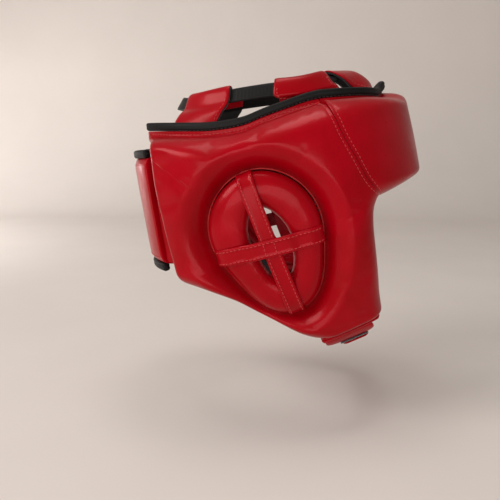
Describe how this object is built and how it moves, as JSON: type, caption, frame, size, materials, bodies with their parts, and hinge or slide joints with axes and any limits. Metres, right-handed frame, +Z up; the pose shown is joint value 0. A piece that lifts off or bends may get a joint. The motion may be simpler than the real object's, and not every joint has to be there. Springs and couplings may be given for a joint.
{
  "type": "boxing headgear",
  "caption": "Padded leather boxing headgear with ear rings and crossed ear straps, open face and crown, webbing crown loops, overlapping rear closure and chin strap.",
  "frame": {"origin": "the middle of the wearer's head, level with the centres of the ear openings", "axes": "+Z up out of the crown, -Y the way the wearer faces, -X the wearer's right side"},
  "size_m": [0.203, 0.254, 0.2396],
  "materials": {
    "red_leather": "smooth bright red leather, semi-gloss, fine pores and soft creases",
    "black_binding": "black satin binding tape folded over the edge",
    "black_webbing": "black woven elastic webbing",
    "inner_lining": "black matt lining cloth",
    "pad_foam": "closed-cell foam, hidden inside the covers",
    "hook_and_loop": "black hook-and-loop tape"
  },
  "bodies": {
    "shell": {"cover_right": "red_leather", "foam_right": "pad_foam", "lining_right": "inner_lining", "ear_ring_right": "red_leather", "ear_piping_right": "red_leather", "ear_strap_upright_right": "red_leather", "ear_strap_level_right": "red_leather", "crown_loop_front_right": "red_leather", "crown_loop_lining_front_right": "inner_lining", "crown_loop_rear_right": "red_leather", "crown_loop_lining_rear_right": "inner_lining", "chin_band_right": "red_leather", "cover_left": "red_leather", "foam_left": "pad_foam", "lining_left": "inner_lining", "ear_ring_left": "red_leather", "ear_piping_left": "red_leather", "ear_strap_upright_left": "red_leather", "ear_strap_level_left": "red_leather", "crown_loop_front_left": "red_leather", "crown_loop_lining_front_left": "inner_lining", "crown_loop_rear_left": "red_leather", "crown_loop_lining_rear_left": "inner_lining", "chin_band_left": "red_leather", "cover_forehead": "red_leather", "foam_forehead": "pad_foam", "lining_forehead": "inner_lining", "top_binding": "black_binding", "crown_webbing": "black_webbing", "crown_loop_front": "red_leather", "crown_loop_lining_front": "inner_lining", "chin_tab": "red_leather", "chin_tab_loop": "hook_and_loop"},
    "rear_flap_outer": {"rear_flap_outer_hook": "hook_and_loop", "rear_flap_outer_padding": "pad_foam", "rear_flap_outer_cover": "red_leather", "rear_flap_outer_binding_bottom": "black_binding", "rear_flap_outer_binding_top": "black_binding"},
    "rear_flap_inner": {"rear_flap_inner_leather": "red_leather", "rear_flap_inner_loop": "hook_and_loop", "rear_flap_inner_binding_bottom": "black_binding", "rear_flap_inner_binding_top": "black_binding"},
    "chin_strap": {"chin_strap_hook": "hook_and_loop", "chin_strap": "red_leather"}
  },
  "joints": [
    {"name": "rear_flap_outer_hinge", "type": "hinge", "parent": "shell", "child": "rear_flap_outer", "pos_m": [-0.0571, 0.08786, -0.02714], "axis": [0.0149, 0.1544, 0.9879], "range_deg": [0, 100]},
    {"name": "rear_flap_inner_hinge", "type": "hinge", "parent": "shell", "child": "rear_flap_inner", "pos_m": [0.04873, 0.07866, -0.02516], "axis": [-0.0185, 0.158, 0.9873], "range_deg": [0, 35]},
    {"name": "chin_strap_hinge", "type": "hinge", "parent": "shell", "child": "chin_strap", "pos_m": [0.06352, -0.0516, -0.09541], "axis": [0, -0.9033, 0.4289], "range_deg": [0, 100]}
  ]
}
